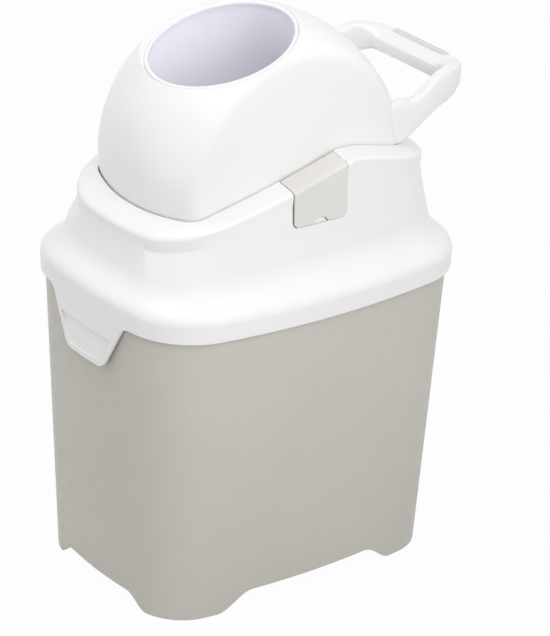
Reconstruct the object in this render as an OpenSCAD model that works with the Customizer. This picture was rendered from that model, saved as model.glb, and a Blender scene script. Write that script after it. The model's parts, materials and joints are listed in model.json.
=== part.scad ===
// Nappy bin: a tapered bucket, a lift-off lid with a roofed collar, and a drum that
// tips over in the collar. A piston slides in the drum's chute and closes its lower end.
// X is the width, -Y the front (mouth and lift tab), +Y the back (handle), +Z up.

/* [Bucket] */
// Half width of the lid band, the widest outline of the bin
band_half_w = 138.5; // [125:1:160]
// Half depth of the lid band
band_half_d = 184.25; // [172:1:210]
// Radius of the band's four corners
band_corner_r = 70; // [55:1:80]
// Height of the lid band's lower edge above the floor
band_z = 295.3; // [260:1:350]
// Inset of the bucket wall behind the band
bucket_inset = 5.2; // [4.8:0.1:8]
// Draft of the bucket wall in degrees
bucket_draft = 2.88; // [1:0.1:4]
// Wall of the bucket
bucket_wall = 2.5; // [2:0.1:4]
// Height of the underside of the bucket's floor
floor_z = 21; // [20:1:40]
// Height of the arches on the long sides
arch_h = 19; // [8:0.5:19]
// Height of the arches on the short sides
arch_short_h = 14; // [8:0.5:19]
// Half length of the arch on the long sides
arch_half_long = 104; // [60:1:110]
// Half length of the arch on the short sides
arch_half_short = 72; // [40:1:75]

/* [Lid] */
// Height of the lid band
band_h = 18; // [14:0.5:24]
// Wall of the lid
lid_wall = 2.5; // [2:0.1:3]
// Inset of the collar's foot from the band, across the width
collar_foot_in_w = 24.5; // [20:0.5:26]
// Inset of the collar's foot from the band, along the depth
collar_foot_in_d = 22; // [18:0.5:24]
// Half width of the collar at its ridge
ridge_half_w = 111; // [108:0.5:113]
// Half depth of the collar at its ridge
ridge_half_d = 159; // [154:0.5:161]
// Drop of the bevel from the drum's seam to the ridge
bevel_drop = 3; // [2:0.5:6]

/* [Collar roof] */
// Height of the roof line straight over the bin's centre, front leg
roof_z = 426.5; // [424:0.5:430]
// Rise of the front leg towards the back, per millimetre
roof_front_rise = 0.28; // [0.2:0.01:0.3]
// Fall of the back leg, per millimetre
roof_back_fall = 0.256; // [0.2:0.01:0.3]
// Place of the roof's apex behind the bin's centre
roof_apex_y = 39; // [30:1:45]

/* [Drum] */
// Largest radius of the drum, at mid width
drum_r = 134.5; // [132:0.5:137]
// Half width of the drum
drum_half_w = 86; // [84:0.5:90]
// Crown radius of the drum's profile
drum_crown_r = 180; // [160:1:260]
// Radius of the edge between crown and flank
drum_edge_r = 18; // [12:1:28]
// Bow radius of the flanks
drum_flank_r = 900; // [600:50:2000]
// Wall of the drum's shells
drum_wall = 2.6; // [2:0.1:3.5]
// Pivot of the drum, behind the bin's centre
pivot_y = -3.5; // [-6:0.5:4]
// Height of the drum's pivot
pivot_z = 415; // [412:0.5:418]
// Forward tilt of the chute at rest, in degrees
chute_tilt = 18; // [12:1:22]
// Distance of the mouth's plane from the pivot
mouth_h = 113.5; // [108:0.5:116]
// Rounding of the mouth's edge
mouth_round = 2; // [1:0.2:3]
// Depth of the collar that holds the chute's end in the mouth
mouth_seat_h = 8; // [6:0.5:12]
// Gap between the drum and the collar
drum_gap = 1.4; // [1:0.1:2]

/* [Chute and piston] */
// Bore radius of the chute
chute_r = 69.8; // [66:0.2:71]
// Wall of the chute
chute_wall = 2; // [1.6:0.1:3]
// Inward lip at each end of the chute, which stops the piston
stop_lip = 1.6; // [1.4:0.1:2.4]
// Height of the lips
stop_h = 3; // [2:0.5:6]
// Length of the piston
piston_len = 50; // [30:1:80]
// Running gap of the piston's rings in the chute
piston_gap = 0.35; // [0.3:0.05:0.6]

/* [Handle] */
// Height of the handle's arms
handle_arm_h = 33; // [28:1:38]
// Width of the grip bar
handle_bar_w = 24; // [20:1:28]
// Height of the grip bar
handle_bar_h = 17; // [14:0.5:20]
// Thickness of the handle's band
handle_t = 13; // [10:0.5:16]
// Reach of the grip bar's middle behind the bin's centre
handle_reach = 191; // [184:1:198]
// Half width of the handle across its arms
handle_half_w = 79; // [70:0.5:80]

/* [Side clips] */
// Length of a clip along the bin
clip_len = 59; // [50:1:66]
// Middle of the clip behind the bin's centre
clip_y = -2.5; // [-6:0.5:4]
// Height of the clip's lower edge
clip_z = 380; // [376:1:386]
// Radius of the drum's trunnions
trunnion_r = 5; // [4.5:0.25:5]

/* [Hidden] */

$fn = 64;
eps = 0.02;

// Colours
taupe = [0.66, 0.65, 0.61];
white = [0.95, 0.95, 0.96];
clip_grey = [0.76, 0.76, 0.72];
lavender = [0.87, 0.86, 0.93];
rubber = [0.3, 0.3, 0.32];
steel = [0.72, 0.72, 0.74];

// Outlines are [half width, half depth, side bow radius, end bow radius, corner radius]
side_bow_r = 767;
end_bow_r = 457;
band_shape = [band_half_w, band_half_d, side_bow_r, end_bow_r, band_corner_r];

// Normal angles of an outline's points in one quarter, closer together round the corner
QUARTER = [0, 1, 2.2, 3.6, 5.4, 7.6, 10.5, 15, 20, 26, 32, 38, 44, 50, 56, 62, 67, 71.5,
           75, 78, 81, 84, 87];
HALF = concat(QUARTER, [90], [for (i = [len(QUARTER) - 1:-1:1]) 180 - QUARTER[i]]);
ROUND = concat(HALF, [for (a = HALF) a + 180]);

function shrink(s, d) = [for (v = s) v - d];
function mix(p, q, t) = p + (q - p) * t;

// Centre of the corner arc that touches both bows of an outline
function corner_centre(s) =
    let (
        ax = s[0] - s[2],
        by = s[1] - s[3],
        ra = s[2] - s[4],
        rb = s[3] - s[4],
        d = norm([ax, by]),
        m = (d * d + ra * ra - rb * rb) / (2 * d),
        h = sqrt(max(0, ra * ra - m * m)),
        ux = -ax / d,
        uy = by / d
    )
    [ax + ux * m + abs(uy) * h, uy * m + abs(ux) * h];

// Point of an outline whose outward normal points at angle a
function outline_point(s, a) =
    let (
        c = corner_centre(s),
        q = abs(abs((a + 180) % 360 - 180)),
        b = q > 90 ? 180 - q : q,
        side_end = atan2(c[1], c[0] - (s[0] - s[2])),
        end_start = atan2(c[1] - (s[1] - s[3]), c[0]),
        n = [cos(b), sin(b)],
        p = b <= side_end ? [s[0] - s[2], 0] + s[2] * n
            : b < end_start ? c + s[4] * n
            : [0, s[1] - s[3]] + s[3] * n
    )
    [cos(a) < 0 ? -p[0] : p[0], sin(a) < 0 ? -p[1] : p[1]];

function flat_ring(s, z) = [for (a = ROUND) concat(outline_point(s, a), [z])];

// Solid between the rings of a list; a closed list joins its last ring to its first
module skin(rings, closed = false) {
    n = len(rings[0]);
    m = len(rings);
    sides = [
        for (k = [0:(closed ? m - 1 : m - 2)])
            for (i = [0:n - 1])
                let (j = (i + 1) % n, u = (k + 1) % m)
                each [[k * n + i, u * n + i, u * n + j], [k * n + i, u * n + j, k * n + j]]
    ];
    caps = closed ? [] : [[for (i = [0:n - 1]) i], [for (i = [n - 1:-1:0]) (m - 1) * n + i]];
    polyhedron(points = [for (r = rings) each r], faces = concat(sides, caps), convexity = 8);
}

// ---------- frame ----------
tab_front_y = band_half_d;
handle_tip_y = handle_reach + handle_bar_w / 2;
shift_y = (tab_front_y - handle_tip_y) / 2;

module place() {
    translate([0, shift_y, 0]) children();
}

// Both sides of the bin: side is 1 at +X and -1 at -X
module on_side(side) {
    mirror([side < 0 ? 1 : 0, 0, 0]) children();
}

// ---------- bucket ----------
bucket_top = band_z + band_h - 5;
function bucket_at(z, wall) = shrink(band_shape, bucket_inset + wall + (band_z - z) * tan(bucket_draft));

module arch_outline(half, h) {
    run = half * 0.36;
    steps = 10;
    polygon(concat(
        [[-half, -5]],
        [for (i = [0:steps]) [-half + run * i / steps, h * (1 - cos(180 * i / steps)) / 2]],
        [for (i = [0:steps]) [half - run + run * i / steps, h * (1 + cos(180 * i / steps)) / 2]],
        [[half, -5]]
    ));
}

module bucket() {
    color(taupe) place() difference() {
        skin([
            flat_ring(bucket_at(0, 0), 0),
            flat_ring(bucket_at(bucket_top - 6, 0), bucket_top - 6),
            flat_ring(bucket_at(bucket_top - 4.5, -0.7), bucket_top - 4.5),
            flat_ring(bucket_at(bucket_top, -0.7), bucket_top)
        ]);
        skin([
            flat_ring(bucket_at(floor_z, bucket_wall + 5), floor_z + bucket_wall),
            flat_ring(bucket_at(floor_z, bucket_wall + 1.5), floor_z + bucket_wall + 1.5),
            flat_ring(bucket_at(floor_z, bucket_wall), floor_z + bucket_wall + 5),
            flat_ring(bucket_at(bucket_top + 1, bucket_wall), bucket_top + 1)
        ]);
        skin([flat_ring(bucket_at(-1, bucket_wall), -1), flat_ring(bucket_at(floor_z, bucket_wall), floor_z)]);
        rotate([90, 0, 90]) linear_extrude(2 * band_half_w + 10, center = true)
            arch_outline(arch_half_long, arch_h);
        rotate([90, 0, 0]) linear_extrude(2 * band_half_d + 10, center = true)
            arch_outline(arch_half_short, arch_short_h);
    }
}

// ---------- drum outline ----------
drum_shape = [drum_half_w, drum_r, drum_flank_r, drum_crown_r, drum_edge_r];
drum_corner = corner_centre(drum_shape);
drum_flank_end = drum_flank_r * sin(atan2(drum_corner[1], drum_corner[0] - drum_half_w + drum_flank_r));
drum_crown_start = (drum_r - drum_crown_r)
    + drum_crown_r * sin(atan2(drum_corner[1] - drum_r + drum_crown_r, drum_corner[0]));

// Half width of the drum, grown by g, at radius r from its axis
function drum_x(r, g) =
    r <= drum_flank_end ? drum_half_w - drum_flank_r + sqrt(pow(drum_flank_r + g, 2) - r * r)
    : r <= drum_crown_start + g ? drum_corner[0]
        + sqrt(max(0, pow(drum_edge_r + g, 2) - pow(r - drum_corner[1], 2)))
    : sqrt(max(0, pow(drum_crown_r + g, 2) - pow(r - drum_r + drum_crown_r, 2)));

// Height of the collar's roof line; the apex is eased over a few millimetres
roof_apex_z = roof_z + roof_front_rise * roof_apex_y;
function roof(y) =
    let (
        f = roof_apex_z + roof_front_rise * (y - roof_apex_y),
        b = roof_apex_z - roof_back_fall * (y - roof_apex_y),
        d = f - b,
        ease = 2
    )
    (f + b - sqrt(d * d + ease * ease)) / 2;

// Ring round the drum at the roof line, g outside the drum and dz below the roof
function seam_ring(g, dz) = [
    for (a = ROUND)
        let (
            p = outline_point([for (v = drum_shape) v + g], a),
            y0 = pivot_y + p[1],
            h = roof(y0) - dz - pivot_z,
            y1 = p[1] * sqrt(1 - pow(h / (drum_r + g), 2)),
            z1 = roof(pivot_y + y1) - dz,
            x1 = drum_x(norm([y1, z1 - pivot_z]), g)
        )
        [abs(p[0]) < 0.01 ? 0 : sign(p[0]) * x1, pivot_y + y1, z1]
];

// Ring of an outline that lies dz below the roof line
function roof_ring(s, dz) = [
    for (a = ROUND) let (p = outline_point(s, a)) [p[0], p[1], roof(p[1]) - dz]
];

// Ring part way from ring p to ring q
function between(p, q, t) = [for (i = [0:len(p) - 1]) mix(p[i], q[i], t)];

// ---------- lid ----------
foot_shape = [band_half_w - collar_foot_in_w, band_half_d - collar_foot_in_d, 735, 430, 58];
ridge_shape = [ridge_half_w, ridge_half_d, 600, 330, 70];
ridge_round = 5;
neck_in = 1.1;
neck_drop = 16;
band_top = band_z + band_h;
foot_z = band_top + 36;

// Profile from the band's lip over the shoulder to the collar's foot:
// [share of the way from the band's outline to the foot's, height over the lip, normal's angle]
SHOULDER = [
    [0, -1.5, 0], [0.025, 1.8, 22], [0.08, 4.8, 38], [0.18, 8, 50],
    [0.34, 11.2, 56], [0.52, 14.6, 51], [0.68, 18.6, 41], [0.82, 23.4, 28], [0.93, 29, 14]
];

function lid_outer_rings(d) = concat(
    [
        flat_ring(shrink(band_shape, d > 0 ? d : 1.1), band_z - (d > 0 ? eps : 0)),
        flat_ring(shrink(band_shape, d > 0 ? d : 0.5), band_z + 0.8)
    ],
    [
        for (p = SHOULDER)
            flat_ring(shrink(mix(band_shape, foot_shape, p[0]), d * cos(p[2])), band_top + p[1] - d * sin(p[2]))
    ],
    [flat_ring(shrink(foot_shape, d), foot_z)]
);

// Rings of the rolled edge between the collar's neck and its roof
ROLL = [0, 30, 60, 90];
function ridge_rings() = [
    for (a = ROLL)
        roof_ring(shrink(ridge_shape, ridge_round * (1 - cos(a))), bevel_drop + ridge_round * (1 - sin(a)))
];

function lid_top_outer() = let (
        rolls = ridge_rings(),
        seam = seam_ring(drum_gap, 0)
    )
    concat(
        [roof_ring(shrink(ridge_shape, neck_in), bevel_drop + neck_drop)],
        rolls,
        [between(rolls[3], seam, 0.5), seam]
    );

function lid_top_inner() = let (
        neck = roof_ring(shrink(ridge_shape, neck_in + lid_wall), bevel_drop + neck_drop),
        low = roof_ring(shrink(ridge_shape, lid_wall), bevel_drop + ridge_round + 0.6),
        high = roof_ring(shrink(ridge_shape, lid_wall + ridge_round * 0.7), bevel_drop + lid_wall),
        seam = seam_ring(drum_gap + 2, 3.4)
    )
    [seam_ring(drum_gap, 6), seam_ring(drum_gap + 1.8, 6), seam, between(high, seam, 0.5), high, low, neck];

module lid_form() {
    outer = lid_outer_rings(0);
    inner = lid_outer_rings(lid_wall);
    skin(concat(
        outer,
        lid_top_outer(),
        lid_top_inner(),
        [for (i = [len(inner) - 1:-1:0]) inner[i]]
    ), closed = true);
}

// Front lift tab: it hangs flush from the band between two fillets, and its finger recess
// steps in under a level edge and leans out again to the rim
tab_top_half = 62;
tab_low_half = 34;
tab_low_z = 245;
tab_corner_r = 13;
tab_root_r = 10;
tab_in = 0.4;
tab_wall = 3;
recess_top_z = 277;
recess_rim = 5;
recess_deep = 2.2;
recess_shallow = 0.9;
tab_run = (tab_top_half - tab_low_half) / (band_z - tab_low_z);
tab_lean = atan(tab_run);
tab_cx = tab_low_half - tab_corner_r;
tab_cz = tab_low_z + tab_corner_r;

// Half width of the tab at height z, grown by g
function tab_edge(z, g) = tab_cx + tab_run * (z - tab_cz) + (tab_corner_r + g) / cos(tab_lean);

module tab_outline(g, top) {
    r = tab_corner_r + g;
    half = concat(
        [for (i = [0:6]) let (a = mix(-90, -tab_lean, i / 6)) [tab_cx + r * cos(a), tab_cz + r * sin(a)]],
        [[tab_edge(top, g), top]]
    );
    polygon(concat(half, [for (i = [len(half) - 1:-1:0]) [-half[i][0], half[i][1]]]));
}

// Concave fillet between the tab's slanted edge and the band's lower edge, at +X
module tab_root() {
    r = tab_root_r;
    cz = band_z - r;
    cx = tab_edge(cz, r);
    inner = tab_edge(cz, -4);
    polygon(concat(
        [[inner, cz + r * sin(tab_lean)]],
        [for (i = [0:8]) let (a = mix(180 - tab_lean, 90, i / 8)) [cx + r * cos(a), cz + r * sin(a)]],
        [[cx, band_z + 3], [inner, band_z + 3]]
    ));
}

// Layer behind the band's outline, from inset out to inset in
module front_skin(out, in) {
    difference() {
        skin([flat_ring(shrink(band_shape, out), tab_low_z - 5), flat_ring(shrink(band_shape, out), band_z + 9)]);
        skin([flat_ring(shrink(band_shape, in), tab_low_z - 6), flat_ring(shrink(band_shape, in), band_z + 10)]);
    }
}

module tab_bar() {
    translate([0, -100, 0]) rotate([90, 0, 0]) linear_extrude(120) children();
}

module tab() {
    difference() {
        intersection() {
            tab_bar() {
                tab_outline(0, band_z + 8);
                tab_root();
                mirror([1, 0, 0]) tab_root();
            }
            front_skin(tab_in, tab_in + tab_wall);
        }
        difference() {
            tab_bar() tab_outline(-recess_rim, recess_top_z);
            skin([
                flat_ring(shrink(band_shape, tab_in + recess_shallow), tab_low_z - 1),
                flat_ring(shrink(band_shape, tab_in + recess_deep), recess_top_z + 1)
            ]);
        }
    }
}

// Housing of a trunnion and its clip, at +X
housing_half = clip_len / 2 + 4;
housing_low = clip_z - 4;
housing_out = ridge_half_w - neck_in - 1.5;
saddle_half = 10;
saddle_low = pivot_z - 14;
saddle_out = 94.5;
flank_gap = 1.8;
clip_gap = 1;
cheek_t = 3.6;

// Box under the front leg of the roof, its top face dz below the roof line
module roof_box(x0, x1, y0, y1, z0, dz) {
    multmatrix([[1, 0, 0, 0], [0, 1, 0, 0], [0, roof_front_rise, 1, 0], [0, 0, 0, 1]])
        translate([x0, y0, z0 - roof_front_rise * y0])
        cube([x1 - x0, y1 - y0, roof_z - dz - z0 + roof_front_rise * y0]);
}

module housing() {
    inner = drum_half_w + flank_gap;
    half = clip_len / 2 + clip_gap;
    translate([inner, clip_y - housing_half, housing_low])
        cube([housing_out - inner, 2 * housing_half, clip_z - clip_gap - housing_low]);
    difference() {
        for (y = [clip_y - housing_half, clip_y + half]) {
            roof_box(inner, inner + 9.5, y, y + housing_half - half, housing_low, 2.2);
            roof_box(inner, housing_out, y, y + housing_half - half, housing_low, 5.4);
        }
        clip_pin_hole();
    }
    translate([inner, pivot_y - saddle_half - 4, housing_low])
        difference() {
            cube([saddle_out + 2 - inner, 2 * saddle_half + 8, saddle_low + 10 - housing_low]);
            translate([-1, 4, saddle_low - housing_low])
                cube([saddle_out - inner + 1, 2 * saddle_half, 40]);
        }
}

// Face of a clip seen from its side, grown by g
clip_corner_r = 5;
module clip_outline(g) {
    half = clip_len / 2 + g;
    r = clip_corner_r + g;
    translate([clip_y - half, clip_z + r - g]) square([2 * half, 80]);
    translate([clip_y - half + r, clip_z - g]) square([2 * (half - r), 20]);
    for (s = [-1, 1]) translate([clip_y + s * (half - r), clip_z + r - g]) circle(r = r);
}

module clip_window() {
    translate([drum_half_w + 0.5, 0, 0]) rotate([90, 0, 90]) linear_extrude(40) clip_outline(clip_gap);
}

module lid_shell() {
    color(white) place() {
        difference() {
            union() {
                lid_form();
                tab();
            }
            for (side = [1, -1]) on_side(side) {
                clip_window();
                clip_pin_hole();
            }
        }
        for (side = [1, -1]) on_side(side) housing();
    }
}

gasket_w = 7;
gasket_h = 3.1;
module lid_gasket() {
    gasket_in = lid_wall + eps;
    top = bucket_top + 0.3 + gasket_h;
    color(rubber) place() difference() {
        skin([
            flat_ring(shrink(band_shape, gasket_in), bucket_top + 0.3),
            flat_ring(shrink(band_shape, gasket_in), top)
        ]);
        skin([
            flat_ring(shrink(band_shape, gasket_in + gasket_w), bucket_top - 1),
            flat_ring(shrink(band_shape, gasket_in + gasket_w), top + 1)
        ]);
    }
}

// ---------- saddles ----------
saddle_fit = 0.05;
module saddle(side) {
    color(clip_grey) place() on_side(side) difference() {
        translate([drum_half_w + flank_gap, pivot_y - saddle_half, saddle_low + eps])
            cube([saddle_out - drum_half_w - flank_gap, 2 * saddle_half, pivot_z + 1 - saddle_low]);
        translate([drum_half_w, pivot_y, pivot_z]) rotate([0, 90, 0])
            cylinder(r = trunnion_r + saddle_fit, h = 30);
        translate([drum_half_w, pivot_y - trunnion_r - saddle_fit, pivot_z])
            cube([30, 2 * (trunnion_r + saddle_fit), 20]);
    }
}

// ---------- side clips ----------
clip_skin = 2.2;
clip_pin_r = 1.2;
clip_axis_x = 90.6;
clip_axis_drop = 3.4;
clip_slope = atan(roof_front_rise);
clip_axis_z = roof(clip_y) - clip_axis_drop;

// Side profile of a clip at +X, as [x, drop below the roof line] points
function clip_face_x(z) = ridge_half_w + (foot_shape[0] - ridge_half_w)
    * (roof(clip_y) - bevel_drop - ridge_round - z) / (roof(clip_y) - bevel_drop - ridge_round - foot_z);

module clip_profile() {
    top = roof(clip_y);
    low_z = clip_z - clip_len * roof_front_rise / 2 - 2;
    low_x = clip_face_x(low_z);
    polygon([
        [drum_half_w + flank_gap + 0.4, top],
        for (a = [90, 60, 30, 0])
            [ridge_half_w - ridge_round * (1 - cos(a)), top - bevel_drop - ridge_round * (1 - sin(a))],
        [low_x, low_z],
        [low_x - clip_skin, low_z],
        [ridge_half_w - clip_skin, top - bevel_drop - ridge_round - 0.4],
        [ridge_half_w - clip_skin - ridge_round * 0.6, top - bevel_drop - clip_skin],
        [clip_axis_x + 4.4, top - clip_skin - 0.6],
        [clip_axis_x + 2.4, top - clip_axis_drop - 0.4],
        [clip_axis_x + 1.4, top - clip_axis_drop - 2],
        [clip_axis_x - 1.2, top - clip_axis_drop - 2.2],
        [drum_half_w + flank_gap + 0.4, top - 3]
    ]);
}

// A clip is cut from a bar that follows the front leg of the roof
clip_notch_r = 9;
clip_notch_h = 5;
module clip(side) {
    color(clip_grey) place() on_side(side) difference() {
        intersection() {
            translate([0, clip_y, 0])
                multmatrix([[1, 0, 0, 0], [0, 1, 0, 0], [0, roof_front_rise, 1, 0], [0, 0, 0, 1]])
                rotate([90, 0, 0]) linear_extrude(clip_len + 20, center = true) clip_profile();
            translate([80, 0, 0]) rotate([90, 0, 90]) linear_extrude(40) difference() {
                clip_outline(0);
                translate([clip_y, clip_z + clip_notch_h - clip_notch_r]) circle(r = clip_notch_r);
            }
        }
        clip_pin_hole();
        // room for the trunnion and its saddle under the clip's lug
        translate([80, pivot_y - saddle_half - 1.4, clip_z - 10])
            cube([18, 2 * saddle_half + 2.8, pivot_z + trunnion_r + 0.6 - clip_z + 10]);
    }
}

module clip_pin_hole() {
    translate([clip_axis_x, clip_y, clip_axis_z]) rotate([clip_slope - 90, 0, 0])
        cylinder(r = clip_pin_r + 0.05, h = clip_len + 5.6, center = true);
}

module clip_pin(side) {
    color(steel) place() on_side(side)
        translate([clip_axis_x, clip_y, clip_axis_z]) rotate([clip_slope - 90, 0, 0])
        cylinder(r = clip_pin_r, h = clip_len + 5, center = true);
}

// ---------- drum ----------
module in_drum() {
    translate([0, pivot_y, pivot_z]) rotate([chute_tilt, 0, 0]) children();
}

// Half profile of the drum, grown by g, as [radius, x] points
function drum_profile(g) = concat(
    [[0, -drum_half_w - g]],
    [for (a = [3, 6.2, 12, 20, 28, 36, 44, 52, 60, 66, 70, 74, 78, 82, 86])
        let (p = outline_point([for (v = drum_shape) v + g], -a)) [-p[1], -p[0]]],
    [[drum_r + g, 0]],
    [for (a = [86, 82, 78, 74, 70, 66, 60, 52, 44, 36, 28, 20, 12, 6.2, 3])
        let (p = outline_point([for (v = drum_shape) v + g], a)) [p[1], p[0]]],
    [[0, drum_half_w + g]]
);

module drum_form(g) {
    rotate([0, 90, 0]) rotate_extrude($fn = 96) polygon(drum_profile(g));
}

module mouth_cut() {
    edge = chute_r + chute_wall + eps;
    rotate_extrude($fn = 96) polygon(concat(
        [[0, mouth_h - 30], [edge, mouth_h - 30], [edge, mouth_h - mouth_round]],
        [for (a = [22.5:22.5:90]) [
            edge + mouth_round * (1 - cos(a)),
            mouth_h - mouth_round * (1 - sin(a))
        ]],
        [[edge + mouth_round, mouth_h + 30], [0, mouth_h + 30]]
    ));
}

module drum_half() {
    difference() {
        union() {
            difference() {
                intersection() {
                    drum_form(0);
                    translate([0, 0, mouth_h / 2]) cube([400, 400, mouth_h], center = true);
                }
                intersection() {
                    drum_form(-drum_wall);
                    translate([0, 0, mouth_h / 2 - drum_wall - 5]) cube([400, 400, mouth_h + 10], center = true);
                }
            }
            intersection() {
                drum_form(-0.5);
                translate([0, 0, mouth_h - mouth_seat_h]) difference() {
                    cylinder(r = chute_r + chute_wall + 2, h = mouth_seat_h - 1);
                    translate([0, 0, -1]) cylinder(r = chute_r, h = 40);
                }
            }
        }
        mouth_cut();
        rotate([0, 90, 0]) cylinder(r = trunnion_r + 0.05, h = 300, center = true);
    }
}

module drum_shell_upper() {
    color(white) place() in_drum() drum_half();
}

module drum_shell_lower() {
    color(white) place() in_drum() rotate([180, 0, 0]) drum_half();
}

chute_half = mouth_h - 0.2;
module chute_tube() {
    outer = chute_r + chute_wall;
    lip = chute_r - stop_lip;
    half = [
        [chute_r, 0], [chute_r, chute_half - stop_h - stop_lip / 2], [lip, chute_half - stop_h],
        [lip, chute_half - 1], [lip + 0.3, chute_half - 0.3], [lip + 1, chute_half],
        [outer - 0.5, chute_half], [outer, chute_half - 0.5]
    ];
    color(lavender) place() in_drum() rotate_extrude($fn = 96)
        polygon(concat(half, [for (i = [len(half) - 1:-1:1]) [half[i][0], -half[i][1]]]));
}

trunnion_flange_t = 2.4;
module trunnion(side) {
    inner = drum_half_w - drum_wall - 0.4;
    color(white) place() on_side(side) in_drum() rotate([0, 90, 0]) {
        translate([0, 0, inner - trunnion_flange_t]) cylinder(r = trunnion_r + 6, h = trunnion_flange_t);
        translate([0, 0, inner - 1]) cylinder(r = trunnion_r, h = saddle_out - 1 - inner + 1);
    }
}

// ---------- handle ----------
// Stations of the handle's band from the drum (t = 0) to the middle of the grip (t = 1):
// [x, y, z, half width across the band, half height, rise of its top outwards, bend]
arm_root_y = 100;
bar_z = 468.5;
bar_rise = 0.2;
handle_corner = 30;
arm_end = 0.45;
corner_end = 0.85;
// Height of the band's middle over the bar's, and the flare of the arm where it meets the drum
RISE = [[0, -30.5], [0.135, -28], [0.19, -27.2], [0.25, -24], [0.325, -17], [0.405, -9],
        [0.45, -5.5], [0.58, -1.3], [0.72, 0.2], [0.85, 0]];
FLARE = [[0, 1.33], [0.135, 1.33], [0.19, 1.1], [0.25, 0.97], [0.325, 0.97], [0.405, 1]];
function share(v) = max(0, min(1, v));
function eased(q) = q * q * (3 - 2 * q);
function handle_station(t) =
    let (
        arm = handle_reach - handle_corner - arm_root_y,
        turn = share((t - arm_end) / (corner_end - arm_end)),
        bend = 90 * turn,
        s = eased(turn),
        cx = handle_half_w - handle_t / 2 - handle_corner,
        x = t <= arm_end ? handle_half_w - handle_t / 2
            : t < corner_end ? cx + handle_corner * cos(bend)
            : cx * (1 - (t - corner_end) / (1 - corner_end)),
        y = t <= arm_end ? arm_root_y + arm * t / arm_end : handle_reach - handle_corner * (1 - sin(bend)),
        half = mix(handle_arm_h * lookup(t, FLARE), handle_bar_h, s) / 2
    )
    [x, y, bar_z + lookup(t, RISE), mix(handle_t, handle_bar_w, s) / 2, half, bar_rise * s, bend];

// Section of the handle at a station: an upright rounded bar whose top rises outwards
function handle_section(s) =
    let (out = [cos(s[6]), sin(s[6]), s[5]])
    [
        for (i = [0:15])
            let (c = cos(i * 22.5), d = sin(i * 22.5))
            [s[0], s[1], s[2]]
                + out * s[3] * sign(c) * sqrt(abs(c))
                + [0, 0, s[4] * sign(d) * sqrt(abs(d))]
    ];

function handle_rings() =
    let (ts = [0, 0.135, 0.16, 0.19, 0.22, 0.25, 0.325, 0.405, 0.45, 0.5, 0.55, 0.6, 0.65, 0.7, 0.75, 0.8, 0.85])
    concat(
        [for (t = ts) handle_section(handle_station(t))],
        [for (i = [len(ts) - 1:-1:0])
            let (r = handle_section(handle_station(ts[i]))) [for (p = r) [-p[0], p[1], p[2]]]]
    );

handle_rest = 0.5;

// Grip pad: a strip with round ends, let into the bar's rear top edge
pad_half = 40;
pad_w = 7;
pad_h = 3;
pad_back = 6.8;
pad_up = 7.6;
module pad_form(g) {
    translate([0, handle_reach + pad_back, bar_z + pad_up - g]) {
        linear_extrude(pad_h + g) {
            square([2 * pad_half - pad_w, pad_w + 2 * g], center = true);
            for (s = [-1, 1]) translate([s * (pad_half - pad_w / 2), 0]) circle(d = pad_w + 2 * g);
        }
    }
}

module handle() {
    color(white) place() difference() {
        skin(handle_rings());
        in_drum() drum_form(0.08);
        pad_form(eps);
        // the arms come to rest just over the back leg of the roof
        multmatrix([[1, 0, 0, 0], [0, 1, 0, 0], [0, -roof_back_fall, 1, 0], [0, 0, 0, 1]])
            translate([-100, 50, roof_apex_z + roof_back_fall * roof_apex_y + handle_rest - 60])
            cube([200, 150, 60]);
    }
}

module grip_pad() {
    color(clip_grey) place() pad_form(0);
}

// ---------- piston ----------
ring_h = 3;
ring_in = 4;
piston_r = chute_r - 0.8;
cap_h = 4;
piston_low = stop_h - chute_half - 0.25;
module in_piston() {
    in_drum() translate([0, 0, piston_low]) children();
}

module piston_body() {
    color(white) place() in_piston() rotate_extrude($fn = 96) polygon([
        [piston_r - 3, cap_h], [piston_r, cap_h],
        [piston_r, cap_h + ring_in], [piston_r - 2, cap_h + ring_in],
        [piston_r - 2, cap_h + ring_in + ring_h], [piston_r, cap_h + ring_in + ring_h],
        [piston_r, piston_len - cap_h - ring_in - ring_h], [piston_r - 2, piston_len - cap_h - ring_in - ring_h],
        [piston_r - 2, piston_len - cap_h - ring_in], [piston_r, piston_len - cap_h - ring_in],
        [piston_r, piston_len - cap_h], [piston_r - 3, piston_len - cap_h]
    ]);
}

module piston_cap() {
    rotate_extrude($fn = 96) polygon(concat(
        [[0, 1.2], [piston_r - 4, 2.4], [piston_r - 3, cap_h - 2], [piston_r - 3.1, cap_h + 4],
         [piston_r - 5, cap_h + 4], [piston_r - 6, cap_h], [0, cap_h - 0.6]]
    ));
    rotate_extrude($fn = 96) polygon([
        [piston_r - 4, 0.8], [piston_r - 1.5, 0], [piston_r, 1.5], [piston_r, cap_h], [piston_r - 4, cap_h]
    ]);
}

module piston_cap_lower() {
    color(lavender) place() in_piston() piston_cap();
}

module piston_cap_upper() {
    color(lavender) place() in_piston() translate([0, 0, piston_len]) rotate([180, 0, 0]) piston_cap();
}

module piston_ring() {
    difference() {
        cylinder(r = chute_r - piston_gap, h = ring_h, $fn = 96);
        translate([0, 0, -1]) cylinder(r = piston_r - 2, h = ring_h + 2, $fn = 96);
    }
}

module piston_ring_lower() {
    color(rubber) place() in_piston() translate([0, 0, cap_h + ring_in]) piston_ring();
}

module piston_ring_upper() {
    color(rubber) place() in_piston() translate([0, 0, piston_len - cap_h - ring_in - ring_h]) piston_ring();
}

bucket();
lid_shell();
lid_gasket();
saddle(-1);  // saddle_left
saddle(1);  // saddle_right
clip(-1);  // clip_left
clip(1);  // clip_right
clip_pin(-1);  // clip_pin_left
clip_pin(1);  // clip_pin_right
drum_shell_upper();
drum_shell_lower();
chute_tube();
trunnion(-1);  // trunnion_left
trunnion(1);  // trunnion_right
handle();
grip_pad();
piston_body();
piston_cap_upper();
piston_cap_lower();
piston_ring_upper();
piston_ring_lower();
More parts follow.
